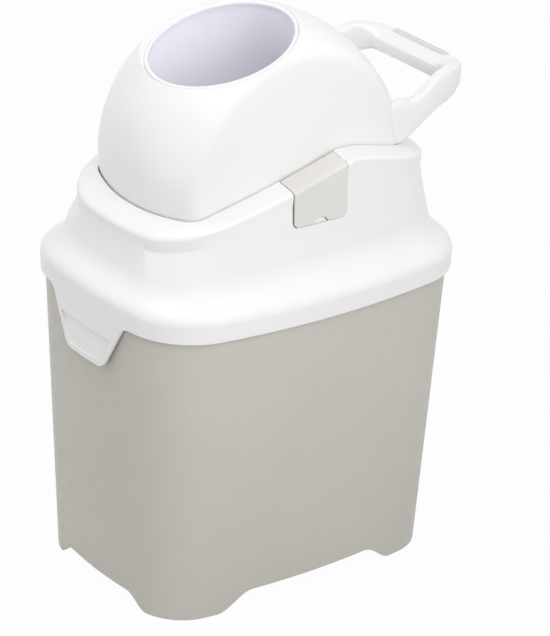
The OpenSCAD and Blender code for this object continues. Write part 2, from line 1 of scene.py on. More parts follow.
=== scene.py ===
import json
import math

import bmesh
import bpy
from bpy.props import (
    FloatProperty, FloatVectorProperty, IntProperty, PointerProperty,
)
from bpy.types import Operator, Panel, PropertyGroup
from mathutils import Matrix, Vector


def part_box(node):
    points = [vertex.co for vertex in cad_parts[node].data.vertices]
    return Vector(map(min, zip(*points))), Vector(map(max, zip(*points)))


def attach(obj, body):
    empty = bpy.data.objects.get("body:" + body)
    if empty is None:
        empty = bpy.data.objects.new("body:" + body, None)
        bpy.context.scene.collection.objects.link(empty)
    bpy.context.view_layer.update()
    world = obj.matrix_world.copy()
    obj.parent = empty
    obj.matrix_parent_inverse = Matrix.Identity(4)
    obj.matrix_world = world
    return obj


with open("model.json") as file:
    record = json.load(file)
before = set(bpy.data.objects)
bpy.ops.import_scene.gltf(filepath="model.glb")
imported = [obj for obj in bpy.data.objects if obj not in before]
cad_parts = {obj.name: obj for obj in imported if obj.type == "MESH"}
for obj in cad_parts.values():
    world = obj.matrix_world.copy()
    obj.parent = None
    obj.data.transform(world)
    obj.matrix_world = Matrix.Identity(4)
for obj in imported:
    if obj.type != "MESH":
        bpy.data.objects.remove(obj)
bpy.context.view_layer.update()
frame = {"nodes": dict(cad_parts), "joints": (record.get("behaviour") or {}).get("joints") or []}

bl_info = {
    "name": "Nappy Bin",
    "version": (1, 0, 0),
    "blender": (4, 5, 0),
    "location": "View3D > Sidebar > Nappy Bin",
    "description": "Moulded finishes, studio and camera for a nappy bin with a turning drum",
    "category": "Object",
}

NODES = frame["nodes"]

JOINTS = {j["name"]: j for j in frame["joints"]}

# The chute's middle, its line at rest and half its length in metres
CHUTE_MIDDLE = tuple((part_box("chute_tube")[0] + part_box("chute_tube")[1]) / 2)
CHUTE_LINE = tuple(JOINTS["piston_slide"]["axis"])
CHUTE_HALF = 0.1133

# Depths under the chute's end faces, in metres: its white rim starts at the first and is full at the second
RIM_STARTS, RIM_FULL = 0.0010, 0.0003
# Leans of the chute, the clips and the pins about the bin's cross axis, in degrees
CHUTE_LEAN, CLIP_LEAN, PIN_LEAN = 18, -18, -15

# The photograph's frame in pixels, the camera's film height in millimetres and its reach in metres
FRAME_W, FRAME_H = 550, 636
FILM_HEIGHT = 36.0
CAMERA_REACH = 100.0


# ---------- settings ----------

def paint(name, description, default):
    """A colour a user may change."""
    return FloatVectorProperty(name=name, description=description, default=default,
                               subtype="COLOR", size=3, min=0.0, max=1.0)


def share(name, description, default):
    """A plain factor from nothing to one."""
    return FloatProperty(name=name, description=description, default=default, min=0.0, max=1.0,
                         subtype="FACTOR")


def length(name, description, default, low, high):
    """A size in metres."""
    return FloatProperty(name=name, description=description, default=default, min=low, max=high,
                         subtype="DISTANCE", unit="LENGTH", precision=5)


def angle(name, description, default, low, high):
    """An angle, kept in radians."""
    return FloatProperty(name=name, description=description, default=math.radians(default),
                         min=math.radians(low), max=math.radians(high),
                         subtype="ANGLE", unit="ROTATION")


def strength(name, description, default, unit="POWER"):
    """A lamp's power, or a plain level."""
    return FloatProperty(name=name, description=description, default=default, min=0.0, max=500.0,
                         unit=unit)


class BinShading(PropertyGroup):
    """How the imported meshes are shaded."""
    crease: angle("Crease angle", "Edges sharper than this stay crisp", 27, 5, 90)
    weld: length("Weld distance", "Points closer than this shade as one", 0.00002, 0.000001, 0.0005)


class BinBucketFinish(PropertyGroup):
    """The bucket's satin taupe polypropylene."""
    colour: paint("Bucket colour", "Warm grey of the moulding", (0.587, 0.574, 0.523))
    shade: paint("Drift colour", "What the colour drifts towards", (0.556, 0.540, 0.488))
    rubbed: paint("Rubbed colour", "Paler colour of handled edges", (0.64, 0.63, 0.59))
    roughness: share("Roughness", "Roughness of the satin", 0.46)
    grain: length("Grain size", "Size of the moulded grain", 0.0011, 0.0002, 0.01)
    grain_depth: length("Grain depth", "Depth of the moulded grain", 0.00003, 0.0, 0.001)


class BinLidFinish(PropertyGroup):
    """Gloss white plastic of lid, drum and handle."""
    colour: paint("White", "Clean white of the gloss mouldings", (0.878, 0.865, 0.868))
    shade: paint("Drift colour", "What the white drifts towards", (0.852, 0.837, 0.844))
    rubbed: paint("Rubbed colour", "Colour of handled edges", (0.9, 0.892, 0.89))
    roughness: share("Roughness", "Roughness of the white under its polish", 0.38)
    coat: share("Polish", "How much of the face is polished skin", 0.36)
    ripple: length("Ripple size", "Size of the slow waves in the moulded face", 0.03, 0.002, 0.2)
    ripple_depth: length("Ripple depth", "Height of those waves", 0.00004, 0.0, 0.001)


class BinClipFinish(PropertyGroup):
    """Pale taupe clips, saddles and grip pad."""
    colour: paint("Clip colour", "Pale taupe of the clips", (0.74, 0.725, 0.688))
    shade: paint("Clip drift", "What the clips drift towards", (0.70, 0.685, 0.647))
    rubbed: paint("Clip edge", "Rubbed edges of the clips", (0.8, 0.785, 0.76))
    pad: paint("Pad colour", "Soft pad on the handle", (0.72, 0.70, 0.67))
    roughness: share("Clip roughness", "Roughness of the clips", 0.38)
    pad_roughness: share("Pad roughness", "Roughness of the pad", 0.62)
    brush: length("Brush line width", "Width of the fine lines along the clip", 0.0004, 0.0001, 0.01)
    pebble: length("Pebble size", "Size of the pebbles on the pad", 0.0012, 0.0002, 0.01)


class BinCatchShape(PropertyGroup):
    """The small tongue that shows in a clip's notch."""
    radius: length("Radius", "Radius of the tongue's rounded top", 0.0083, 0.003, 0.0088)
    drop: length("Centre drop", "From the clip's lower edge down to the centre", 0.0039, 0.001, 0.007)
    lip: length("Lip", "From the clip's lower edge down to the collar's lip", 0.0011, 0.0, 0.003)
    face: length("Face", "Distance of its face from the bin's middle", 0.1117, 0.105, 0.1122)
    thickness: length("Thickness", "Thickness of the tongue", 0.003, 0.001, 0.008)
    round: length("Rounding", "Rounding of the face's edge", 0.0007, 0.0, 0.001)
    steps: IntProperty(name="Steps", description="Steps round the top", default=24, min=8, max=64)


class BinChuteFinish(PropertyGroup):
    """Lavender plastic of the chute and the piston's caps."""
    colour: paint("Lavender", "Pale lavender of the chute", (0.95, 0.932, 0.982))
    shade: paint("Drift lavender", "Where the chute's wall drifts", (0.935, 0.913, 0.972))
    # Painted shade: edge is a darker, deeper lavender laid on the bore near both of the chute's ends; on
    # the caps it is the paler colour of their worn rims.
    edge: paint("Edge lavender", "The chute's ends and the caps' worn rims", (0.845, 0.815, 0.93))
    end_shade_depth: length("Edge depth", "Reach of the deeper lavender into the bore", 0.012, 0.0, 0.1)
    rim: paint("Rim", "White of the chute's end faces", (0.878, 0.865, 0.868))
    cap: paint("Cap lavender", "Lavender of the piston's end caps", (0.76, 0.735, 0.855))
    cap_shade: paint("Cap drift", "Where the caps' colour drifts", (0.73, 0.70, 0.835))
    roughness: share("Roughness", "Roughness of the bore", 0.34)
    cap_roughness: share("Cap roughness", "Roughness of the caps", 0.44)


class BinSealFinish(PropertyGroup):
    """Dark rubber of the seals and plain steel of the pins."""
    rubber: paint("Rubber", "Dark grey of the seals", (0.055, 0.055, 0.06))
    dust: paint("Dust", "Pale bloom on the rubber", (0.16, 0.155, 0.15))
    steel: paint("Steel", "Colour of the hinge pins", (0.60, 0.60, 0.62))
    dull: paint("Dull steel", "Colour of the pins' duller streaks", (0.46, 0.46, 0.48))
    roughness: share("Rubber roughness", "Roughness of the seals", 0.72)
    steel_roughness: share("Steel roughness", "Roughness of the pins", 0.3)


class BinStage(PropertyGroup):
    """Floor, lamps and camera."""
    floor: paint("Floor", "Pale floor", (0.66, 0.66, 0.66))
    floor_shade: paint("Floor drift", "What the floor drifts towards", (0.6501, 0.6501, 0.6501))
    floor_roughness: share("Floor roughness", "Roughness of the floor", 0.7)
    floor_size: length("Floor size", "Side of the square floor", 14.0, 2.0, 60.0)
    lift: share("Background lift", "How far the floor shows as plain white to the camera", 0.97)
    sky: strength("Sky", "Level of the even light", 0.4, "NONE")
    top: strength("Top lamp", "Power of the large lamp overhead", 4.2)
    key: strength("Key lamp", "Power of the high lamp at the right", 8.2)
    side: strength("Side lamp", "Power of the beam at the right", 0.6)
    front: strength("Front lamp", "Power of the low lamp before the bin", 1.95)
    back: strength("Back lamp", "Power of the lamp behind the handle", 2.3)
    left: strength("Left lamp", "Power of the lamp at the left", 4.1)
    window: strength("Windows", "Brightness of the windows in the gloss", 8.0, "NONE")
    azimuth: angle("Camera azimuth", "Side the camera stands on", 52.92, -180, 180)
    elevation: angle("Camera elevation", "Height of the camera over the horizon", 24.90, -10, 90)
    roll: angle("Camera roll", "Turn about the line of sight", 2.13, -20, 20)
    distance: length("Camera distance", "From the camera to the aim", 3.0, 0.5, 20.0)
    aim_y: length("Aim, front to back", "Where the camera aims", -0.009375, -0.5, 0.5)
    aim_z: length("Aim height", "Height of the point it aims at", 0.275, 0.0, 1.0)
    focal: IntProperty(name="Focal length", description="In pixels of the photograph", default=3175,
                       min=500, max=9000, subtype="PIXEL")
    centre_x: IntProperty(name="Aim column", description="Column of the aim point", default=246,
                          min=0, max=550, subtype="PIXEL")
    centre_y: IntProperty(name="Aim row", description="Row of the aim point", default=282,
                          min=0, max=636, subtype="PIXEL")


class BinSettings(PropertyGroup):
    """Everything a user would change."""
    shading: PointerProperty(type=BinShading)
    bucket: PointerProperty(type=BinBucketFinish)
    lid: PointerProperty(type=BinLidFinish)
    clip: PointerProperty(type=BinClipFinish)
    catch: PointerProperty(type=BinCatchShape)
    chute: PointerProperty(type=BinChuteFinish)
    seal: PointerProperty(type=BinSealFinish)
    stage: PointerProperty(type=BinStage)


# ---------- material graphs ----------

class Finish:
    """One node material of a moulded, rubber or metal finish, measured in metres on the piece."""

    def __init__(self, name, roughness):
        self.material = bpy.data.materials.new(name)
        self.material.use_nodes = True
        self.tree = self.material.node_tree
        self.shader = self.tree.nodes["Principled BSDF"]
        self.place = self.tree.nodes.new("ShaderNodeTexCoord").outputs["Object"]
        self.roughness = roughness
        self.height = None

    def node(self, kind, **sockets):
        """A new node, its sockets given by name with _ for a space."""
        made = self.tree.nodes.new(kind)
        for key, value in sockets.items():
            self.feed(made.inputs[key.replace("_", " ")], value)
        return made

    def feed(self, socket, value):
        """Links a socket or writes a plain value."""
        if isinstance(value, bpy.types.NodeSocket):
            self.tree.links.new(value, socket)
        elif socket.type == "RGBA" and len(value) == 3:
            socket.default_value = (*value, 1.0)
        else:
            socket.default_value = value

    def stretched(self, scale, turn):
        """The place on the piece, stretched along its axes and turned."""
        made = self.node("ShaderNodeMapping", Vector=self.place)
        made.inputs["Scale"].default_value = scale
        made.inputs["Rotation"].default_value = turn
        return made.outputs["Vector"]

    def noise(self, size, detail=2.0, rough=0.5, place=None):
        """Grey noise whose grains are about size metres across."""
        made = self.node("ShaderNodeTexNoise", Vector=place or self.place, Scale=1.0 / size,
                         Detail=detail, Roughness=rough)
        return made.outputs["Fac"]

    def spread(self, value, low, high, to_low=0.0, to_high=1.0):
        """Stretches a span of a grey to a new span, smoothly at its ends."""
        made = self.node("ShaderNodeMapRange", Value=value, From_Min=low, From_Max=high,
                         To_Min=to_low, To_Max=to_high)
        made.interpolation_type = "SMOOTHSTEP"
        return made.outputs["Result"]

    def times(self, a, b):
        """The product of two greys."""
        made = self.tree.nodes.new("ShaderNodeMath")
        made.operation = "MULTIPLY"
        self.feed(made.inputs[0], a)
        self.feed(made.inputs[1], b)
        return made.outputs[0]

    def plus(self, a, b):
        """The sum of two greys."""
        made = self.tree.nodes.new("ShaderNodeMath")
        made.operation = "ADD"
        self.feed(made.inputs[0], a)
        self.feed(made.inputs[1], b)
        return made.outputs[0]

    def blend(self, factor, a, b):
        """A colour between two others."""
        made = self.tree.nodes.new("ShaderNodeMix")
        made.data_type = "RGBA"
        self.feed(made.inputs[0], factor)
        self.feed(made.inputs[6], a)
        self.feed(made.inputs[7], b)
        return made.outputs[2]

    def edges(self, radius, low=0.03, high=0.25):
        """Grey that is white on edges and corners and black on flats."""
        soft = self.node("ShaderNodeBevel", Radius=radius)
        soft.samples = 4
        plain = self.tree.nodes.new("ShaderNodeNewGeometry")
        lean = self.tree.nodes.new("ShaderNodeVectorMath")
        lean.operation = "DISTANCE"
        self.feed(lean.inputs[0], soft.outputs[0])
        self.feed(lean.inputs[1], plain.outputs["Normal"])
        return self.spread(lean.outputs["Value"], low, high)

    def worn(self, radius, size, most):
        """Edges, broken up by noise, up to a most."""
        patches = self.spread(self.noise(size, 4.0, 0.6), 0.38, 0.66)
        return self.times(self.times(self.edges(radius), patches), most)

    def near_ends(self, depth):
        """How far from the chute's middle, and a grey that rises towards both its ends."""
        away = self.tree.nodes.new("ShaderNodeVectorMath")
        away.operation = "SUBTRACT"
        self.feed(away.inputs[0], self.place)
        self.feed(away.inputs[1], CHUTE_MIDDLE)
        along = self.tree.nodes.new("ShaderNodeVectorMath")
        along.operation = "DOT_PRODUCT"
        self.feed(along.inputs[0], away.outputs["Vector"])
        self.feed(along.inputs[1], CHUTE_LINE)
        off = self.tree.nodes.new("ShaderNodeMath")
        off.operation = "ABSOLUTE"
        self.feed(off.inputs[0], along.outputs["Value"])
        return off.outputs[0], self.spread(off.outputs[0], CHUTE_HALF - depth, CHUTE_HALF)

    def drifting(self, size, most, colour, shade):
        """A colour that drifts slowly towards a shade, by a most."""
        drift = self.spread(self.noise(size, detail=3.0), 0.3, 0.7)
        return self.blend(self.times(drift, most), colour, shade)

    def drawn(self, width, scale, lean, detail=3.0):
        """Fine lines of that width, drawn out along one axis and leant about the cross axis."""
        turned = self.stretched(scale, (math.radians(lean), 0.0, 0.0))
        return self.noise(width, detail, rough=0.6, place=turned)

    def scratches(self, width, turn, rarity):
        """A few hairline scratches that run one way."""
        lines = self.noise(width, 3.0, 0.65, self.stretched((1.0, 1.0, 0.035), turn))
        spots = self.spread(self.noise(0.05, 2.0), 0.52, 0.68)
        return self.times(self.spread(lines, rarity, rarity + 0.06), spots)

    def raise_by(self, grey, distance, strength):
        """Adds a bump of that height, on top of the ones before it."""
        made = self.node("ShaderNodeBump", Height=grey, Distance=distance, Strength=strength)
        if self.height is not None:
            self.feed(made.inputs["Normal"], self.height)
        self.height = made.outputs["Normal"]

    def finish(self, colour, roughness):
        """Joins colour, roughness and bump to the shader and gives the material."""
        self.feed(self.shader.inputs["Base Color"], colour)
        self.feed(self.shader.inputs["Roughness"], roughness)
        if self.height is not None:
            self.feed(self.shader.inputs["Normal"], self.height)
        return self.material


def uneven(finish, spots, amount):
    """The finish's roughness, uneven by an amount up and down."""
    return finish.spread(spots, 0.3, 0.7, finish.roughness - amount, finish.roughness + amount)


def bucket_material(look):
    """Satin taupe polypropylene: fine spark-eroded grain, slow drift, hairline scuffs."""
    f = Finish("taupe_satin", look.roughness)
    tone = f.drifting(0.16, 0.6, look.colour, look.shade)
    cloud = f.spread(f.noise(0.012, detail=4.0, rough=0.6), 0.35, 0.7)
    tone = f.blend(f.times(cloud, 0.16), tone, look.shade)
    tone = f.blend(f.worn(radius=0.0015, size=0.02, most=0.75), tone, look.rubbed)
    scuff = f.scratches(0.0022, (0.0, math.radians(82), math.radians(20)), rarity=0.63)
    tone = f.blend(f.times(scuff, 0.25), tone, look.rubbed)
    grain = f.noise(look.grain, detail=3.0, rough=0.55)
    f.raise_by(f.noise(0.05), distance=0.00012, strength=0.5)
    f.raise_by(grain, look.grain_depth, strength=0.6)
    f.raise_by(scuff, distance=0.00002, strength=0.3)
    f.shader.inputs["Specular IOR Level"].default_value = 0.42
    rough = f.plus(uneven(f, cloud, 0.05), f.times(grain, 0.06))
    return f.finish(tone, rough)


def gloss_material(look, name):
    """Gloss white plastic: polished face, slow flow ripple, faint drift, hairlines."""
    f = Finish(name, look.roughness)
    tone = f.drifting(0.11, 0.7, look.colour, look.shade)
    tone = f.blend(f.worn(radius=0.0012, size=0.015, most=0.6), tone, look.rubbed)
    hair = f.scratches(0.0016, (math.radians(70), 0.0, math.radians(35)), rarity=0.66)
    f.raise_by(f.noise(look.ripple), look.ripple_depth, strength=0.5)
    f.raise_by(f.noise(0.0016), distance=0.000006, strength=0.5)
    f.raise_by(hair, distance=0.000015, strength=0.3)
    f.shader.inputs["Coat Weight"].default_value = look.coat
    f.shader.inputs["Coat Roughness"].default_value = 0.09
    cloud = f.noise(0.022, detail=4.0, rough=0.6)
    rough = f.plus(uneven(f, cloud, 0.05), f.times(hair, 0.12))
    return f.finish(tone, rough)


def clip_material(look):
    """Pale taupe satin: lines drawn along the clip, rubbed edges."""
    f = Finish("clip_satin", look.roughness)
    lines = f.drawn(look.brush, (1.0, 0.03, 1.0), CLIP_LEAN, detail=2.0)
    tone = f.drifting(0.03, 0.55, look.colour, look.shade)
    tone = f.blend(f.spread(lines, 0.3, 0.75, to_high=0.3), tone, look.shade)
    tone = f.blend(f.worn(radius=0.001, size=0.008, most=0.8), tone, look.rubbed)
    f.raise_by(lines, distance=0.00002, strength=0.4)
    f.raise_by(f.noise(0.0007), distance=0.00001, strength=0.5)
    rough = f.plus(uneven(f, f.noise(0.012, detail=3.0), 0.05), f.times(lines, 0.08))
    return f.finish(tone, rough)


def pad_material(look):
    """Soft-touch rubber pad: pebbled face, pale bloom on its edges."""
    f = Finish("pad_soft_touch", look.pad_roughness)
    pebble = f.node("ShaderNodeTexVoronoi", Vector=f.place, Scale=1.0 / look.pebble)
    pebble.feature = "SMOOTH_F1"
    tone = f.drifting(0.02, 0.6, look.pad, look.shade)
    tone = f.blend(f.worn(radius=0.0008, size=0.006, most=0.7), tone, look.rubbed)
    f.raise_by(pebble.outputs["Distance"], distance=0.00006, strength=0.5)
    f.raise_by(f.noise(0.0004), distance=0.00001, strength=0.5)
    return f.finish(tone, uneven(f, f.noise(0.009, detail=3.0), 0.06))


def chute_material(look):
    """Lavender polypropylene: faint drawn lines down the bore, painted shade of darker, deeper lavender
    towards both ends, and a white rim.
    """
    f = Finish("lavender_satin", look.roughness)
    tone = f.drifting(0.07, 0.7, look.colour, look.shade)
    # Painted shade: the bore turns darker and deeper lavender over its last stretch towards both ends.
    along, ends = f.near_ends(look.end_shade_depth)
    tone = f.blend(ends, tone, look.edge)
    lines = f.drawn(0.0012, (1.0, 1.0, 0.04), CHUTE_LEAN)
    tone = f.blend(f.spread(lines, 0.35, 0.75, to_high=0.18), tone, look.shade)
    rim = f.spread(along, CHUTE_HALF - RIM_STARTS, CHUTE_HALF - RIM_FULL)
    tone = f.blend(rim, tone, look.rim)
    f.raise_by(lines, distance=0.00002, strength=0.35)
    f.raise_by(f.noise(0.0009), distance=0.00001, strength=0.4)
    return f.finish(tone, uneven(f, f.noise(0.02, detail=4.0, rough=0.6), 0.06))


def cap_material(look):
    """Lavender end caps: matt moulded face, paler worn rim."""
    f = Finish("lavender_cap", look.cap_roughness)
    tone = f.drifting(0.05, 0.7, look.cap, look.cap_shade)
    tone = f.blend(f.worn(radius=0.001, size=0.01, most=0.6), tone, look.edge)
    f.raise_by(f.noise(0.0009, detail=3.0, rough=0.55), distance=0.00002, strength=0.5)
    return f.finish(tone, uneven(f, f.noise(0.015, detail=4.0, rough=0.6), 0.06))


def seal_material(look):
    """Dark seal rubber: fine matt grain with a pale bloom of dust."""
    f = Finish("seal_rubber_matt", look.roughness)
    bloom = f.spread(f.noise(0.014, detail=5.0, rough=0.62), 0.45, 0.75)
    tone = f.blend(f.times(bloom, 0.6), look.rubber, look.dust)
    tone = f.blend(f.worn(radius=0.0006, size=0.006, most=0.6), tone, look.dust)
    f.raise_by(f.noise(0.0005, detail=3.0, rough=0.6), distance=0.00004, strength=0.6)
    return f.finish(tone, uneven(f, f.noise(0.004, detail=3.0), 0.08))


def pin_material(look):
    """Drawn steel wire: lines along the pin."""
    f = Finish("pin_steel_drawn", look.steel_roughness)
    lines = f.drawn(0.0004, (1.0, 0.03, 1.0), PIN_LEAN)
    tone = f.blend(f.spread(lines, 0.3, 0.7), look.steel, look.dull)
    f.shader.inputs["Metallic"].default_value = 1.0
    f.raise_by(lines, distance=0.00001, strength=0.5)
    return f.finish(tone, uneven(f, lines, 0.1))


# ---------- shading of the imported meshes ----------

def soft_shading(look):
    """The modifier's node group: welds the points, shades faces smooth and keeps sharp creases."""
    tree = bpy.data.node_groups.new("soft_shading", "GeometryNodeTree")
    for way in ("INPUT", "OUTPUT"):
        tree.interface.new_socket("Geometry", in_out=way, socket_type="NodeSocketGeometry")
    start, end = tree.nodes.new("NodeGroupInput"), tree.nodes.new("NodeGroupOutput")
    weld = tree.nodes.new("GeometryNodeMergeByDistance")
    weld.inputs["Distance"].default_value = look.weld
    round_all = tree.nodes.new("GeometryNodeSetShadeSmooth")
    round_all.domain = "FACE"
    bend = tree.nodes.new("GeometryNodeInputMeshEdgeAngle")
    steep = tree.nodes.new("FunctionNodeCompare")
    steep.data_type, steep.operation = "FLOAT", "GREATER_THAN"
    steep.inputs[1].default_value = look.crease
    crisp = tree.nodes.new("GeometryNodeSetShadeSmooth")
    crisp.domain = "EDGE"
    crisp.inputs["Shade Smooth"].default_value = False
    link = tree.links.new
    link(start.outputs[0], weld.inputs["Geometry"])
    link(weld.outputs["Geometry"], round_all.inputs["Geometry"])
    link(round_all.outputs["Geometry"], crisp.inputs["Geometry"])
    link(bend.outputs["Unsigned Angle"], steep.inputs[0])
    link(steep.outputs[0], crisp.inputs["Selection"])
    link(crisp.outputs["Geometry"], end.inputs[0])
    return tree


def dress(context, material, *names):
    """Gives CAD nodes their finish and shades them softly, without touching their points."""
    tree = bpy.data.node_groups.get("soft_shading") or soft_shading(context.scene.nappy_bin.shading)
    for name in names:
        piece = NODES[name]
        mesh = piece.data
        if "custom_normal" in mesh.attributes:
            mesh.attributes.remove(mesh.attributes["custom_normal"])
        mesh.materials.clear()
        mesh.materials.append(material)
        shade = piece.modifiers.new("soft_shading", "NODES")
        shade.node_group = tree
        weigh = piece.modifiers.new("even_normals", "WEIGHTED_NORMAL")
        weigh.keep_sharp = True
        weigh.weight = 50


def missing(*names):
    """The nodes that the pack lacks."""
    return [n for n in names if n not in NODES]


# ---------- pieces ----------

class BinPiece:
    """What the piece operators share."""
    bl_options = {"REGISTER", "UNDO"}
    pieces = ()

    def material(self, looks):
        """The finish of these pieces."""
        raise NotImplementedError

    def execute(self, context):
        """Dresses the pieces, or raises an error if one isn't in the pack."""
        gone = missing(*self.pieces)
        if gone:
            raise RuntimeError(f"the packed model has no {', '.join(gone)}")
        dress(context, self.material(context.scene.nappy_bin), *self.pieces)
        return {"FINISHED"}


class NAPPYBIN_OT_bucket(BinPiece, Operator):
    """Finish the taupe bucket"""
    bl_idname = "nappy_bin.bucket"
    bl_label = "Bucket"
    pieces = ("bucket",)

    def material(self, looks):
        """Satin taupe."""
        return bucket_material(looks.bucket)


class NAPPYBIN_OT_lid(BinPiece, Operator):
    """Finish the lid's white shell with its roof, shoulder, band and tab"""
    bl_idname = "nappy_bin.lid"
    bl_label = "Lid"
    pieces = ("lid_shell",)

    def material(self, looks):
        """Gloss white."""
        return gloss_material(looks.lid, "lid_white_gloss")


class NAPPYBIN_OT_drum(BinPiece, Operator):
    """Finish the turning drum's two shells and its trunnions"""
    bl_idname = "nappy_bin.drum"
    bl_label = "Drum"
    pieces = ("drum_shell_upper", "drum_shell_lower", "trunnion_left", "trunnion_right")

    def material(self, looks):
        """Gloss white."""
        return gloss_material(looks.lid, "drum_white_gloss")


class NAPPYBIN_OT_handle(BinPiece, Operator):
    """Finish the lifting handle"""
    bl_idname = "nappy_bin.handle"
    bl_label = "Handle"
    pieces = ("handle",)

    def material(self, looks):
        """Gloss white."""
        return gloss_material(looks.lid, "handle_white_gloss")


class NAPPYBIN_OT_pad(BinPiece, Operator):
    """Finish the soft pad on the handle"""
    bl_idname = "nappy_bin.pad"
    bl_label = "Grip pad"
    pieces = ("grip_pad",)

    def material(self, looks):
        """Soft-touch rubber."""
        return pad_material(looks.clip)


class NAPPYBIN_OT_clips(BinPiece, Operator):
    """Finish the two clips and the saddles behind them"""
    bl_idname = "nappy_bin.clips"
    bl_label = "Clips and saddles"
    pieces = ("clip_left", "clip_right", "saddle_left", "saddle_right")

    def material(self, looks):
        """Pale taupe."""
        return clip_material(looks.clip)


# The most that the sine of the angle at a tongue's foot may be, so that a foot is left
STEEPEST_FOOT = 0.9


def catch_mesh(name, side, look):
    """A rounded tongue that stands on the collar's lip and shows in the clip's notch."""
    low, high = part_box("clip_right")
    middle = (low.y + high.y) / 2
    centre = low.z - look.drop
    start = math.asin(min(STEEPEST_FOOT, (look.drop - look.lip) / look.radius))
    mesh = bmesh.new()
    faces = []
    for x in (look.face - look.thickness, look.face):
        ring = []
        for i in range(look.steps + 1):
            turn = start + (math.pi - 2 * start) * i / look.steps
            ring.append(mesh.verts.new((side * x, middle + look.radius * math.cos(turn),
                                        centre + look.radius * math.sin(turn))))
        faces.append(ring)
    back, front = faces
    mesh.faces.new(back)
    mesh.faces.new(front)
    for i in range(len(back)):
        j = (i + 1) % len(back)
        mesh.faces.new((back[i], back[j], front[j], front[i]))
    bmesh.ops.recalc_face_normals(mesh, faces=mesh.faces)
    rim = [e for e in mesh.edges if e.verts[0] in front and e.verts[1] in front]
    bmesh.ops.bevel(mesh, geom=rim, offset=look.round, segments=3, profile=0.5, affect="EDGES")
    data = bpy.data.meshes.new(name)
    mesh.to_mesh(data)
    mesh.free()
    return data


class NAPPYBIN_OT_catches(Operator):
    """Stand a small white catch in each clip's notch"""
    bl_idname = "nappy_bin.catches"
    bl_label = "Clip catches"
    bl_options = {"REGISTER", "UNDO"}

    def execute(self, context):
        """Makes both catches, or raises an error if the clips aren't in the pack."""
        if missing("clip_left", "clip_right"):
            raise RuntimeError("the packed model has no clips")
        looks = context.scene.nappy_bin
        white = gloss_material(looks.lid, "catch_white_gloss")
        for name, side in (("clip_catch_right", 1), ("clip_catch_left", -1)):
            data = catch_mesh(name, side, looks.catch)
            data.materials.append(white)
            for face in data.polygons:
                face.use_smooth = True
            piece = bpy.data.objects.new(name, data)
            context.scene.collection.objects.link(piece)
            weigh = piece.modifiers.new("even_normals", "WEIGHTED_NORMAL")
            weigh.keep_sharp = True
            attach(piece, "lid")
        return {"FINISHED"}


class NAPPYBIN_OT_pins(BinPiece, Operator):
    """Finish the clips' hinge pins"""
    bl_idname = "nappy_bin.pins"
    bl_label = "Hinge pins"
    pieces = ("clip_pin_left", "clip_pin_right")

    def material(self, looks):
        """Drawn steel."""
        return pin_material(looks.seal)


class NAPPYBIN_OT_chute(BinPiece, Operator):
    """Finish the chute"""
    bl_idname = "nappy_bin.chute"
    bl_label = "Chute"
    pieces = ("chute_tube",)

    def material(self, looks):
        """Lavender."""
        return chute_material(looks.chute)


class NAPPYBIN_OT_caps(BinPiece, Operator):
    """Finish the piston's two end caps"""
    bl_idname = "nappy_bin.caps"
    bl_label = "Piston caps"
    pieces = ("piston_cap_upper", "piston_cap_lower")

    def material(self, looks):
        """Deeper lavender."""
        return cap_material(looks.chute)


class NAPPYBIN_OT_piston(BinPiece, Operator):
    """Finish the piston's body"""
    bl_idname = "nappy_bin.piston"
    bl_label = "Piston body"
    pieces = ("piston_body",)

    def material(self, looks):
        """Gloss white."""
        return gloss_material(looks.lid, "piston_white_gloss")


class NAPPYBIN_OT_seals(BinPiece, Operator):
    """Finish the lid's seal and the piston's rings"""
    bl_idname = "nappy_bin.seals"
    bl_label = "Seals"
    pieces = ("lid_gasket", "piston_ring_upper", "piston_ring_lower")

    def material(self, looks):
        """Matt rubber."""
        return seal_material(looks.seal)


# ---------- stage ----------

def camera_axes(look):
    """Right, up and back of the camera, with its roll."""
    a, e, r = look.azimuth, look.elevation, look.roll
    back = Vector((math.sin(a) * math.cos(e), -math.cos(a) * math.cos(e), math.sin(e)))
    right = Vector((math.cos(a), math.sin(a), 0.0))
    up = back.cross(right)
    return right * math.cos(r) + up * math.sin(r), up * math.cos(r) - right * math.sin(r), back


def add_camera(context, look):
    """The camera at the photograph's angle and frame."""
    right, up, back = camera_axes(look)
    at = Vector((0.0, look.aim_y, look.aim_z)) + back * look.distance
    data = bpy.data.cameras.new("photo_camera")
    camera = bpy.data.objects.new("photo_camera", data)
    context.scene.collection.objects.link(camera)
    camera.matrix_world = Matrix((
        (right.x, up.x, back.x, at.x),
        (right.y, up.y, back.y, at.y),
        (right.z, up.z, back.z, at.z),
        (0.0, 0.0, 0.0, 1.0),
    ))
    data.sensor_fit = "VERTICAL"
    data.sensor_height = FILM_HEIGHT
    data.lens = look.focal / FRAME_H * FILM_HEIGHT
    data.shift_x = (FRAME_W / 2 - look.centre_x) / FRAME_H
    data.shift_y = (look.centre_y - FRAME_H / 2) / FRAME_H
    data.clip_end = CAMERA_REACH
    context.scene.camera = camera


# The height that most lamps aim at, in metres, just over the drum's axis
MIDDLE_HEIGHT = 0.42
# Soft lamps: name, place, side, the height that each aims at and its beam in degrees
LAMPS = (
    ("top", (-0.15, -0.3, 1.4), 1.1, MIDDLE_HEIGHT, 180),
    ("key", (1.15, -0.25, 1.15), 0.9, MIDDLE_HEIGHT, 180),
    ("side", (1.3, -0.35, 0.65), 0.8, 0.45, 75),
    ("front", (-0.3, -1.5, 0.3), 0.9, MIDDLE_HEIGHT, 180),
    ("back", (0.2, 0.9, 1.2), 0.8, MIDDLE_HEIGHT, 180),
    ("left", (-1.0, -1.0, 1.0), 0.8, MIDDLE_HEIGHT, 180),
)
# The soft lamps whose reflections show
IN_GLOSS = ("top", "front")
# Windows, which give only reflections: name, place and side
WINDOWS = (
    ("window_near", (0.30, -0.77, 1.68), 0.13),
    ("window_far", (0.86, 0.42, 1.51), 0.13),
    ("window_edge", (1.10, -0.77, 1.36), 0.11),
)


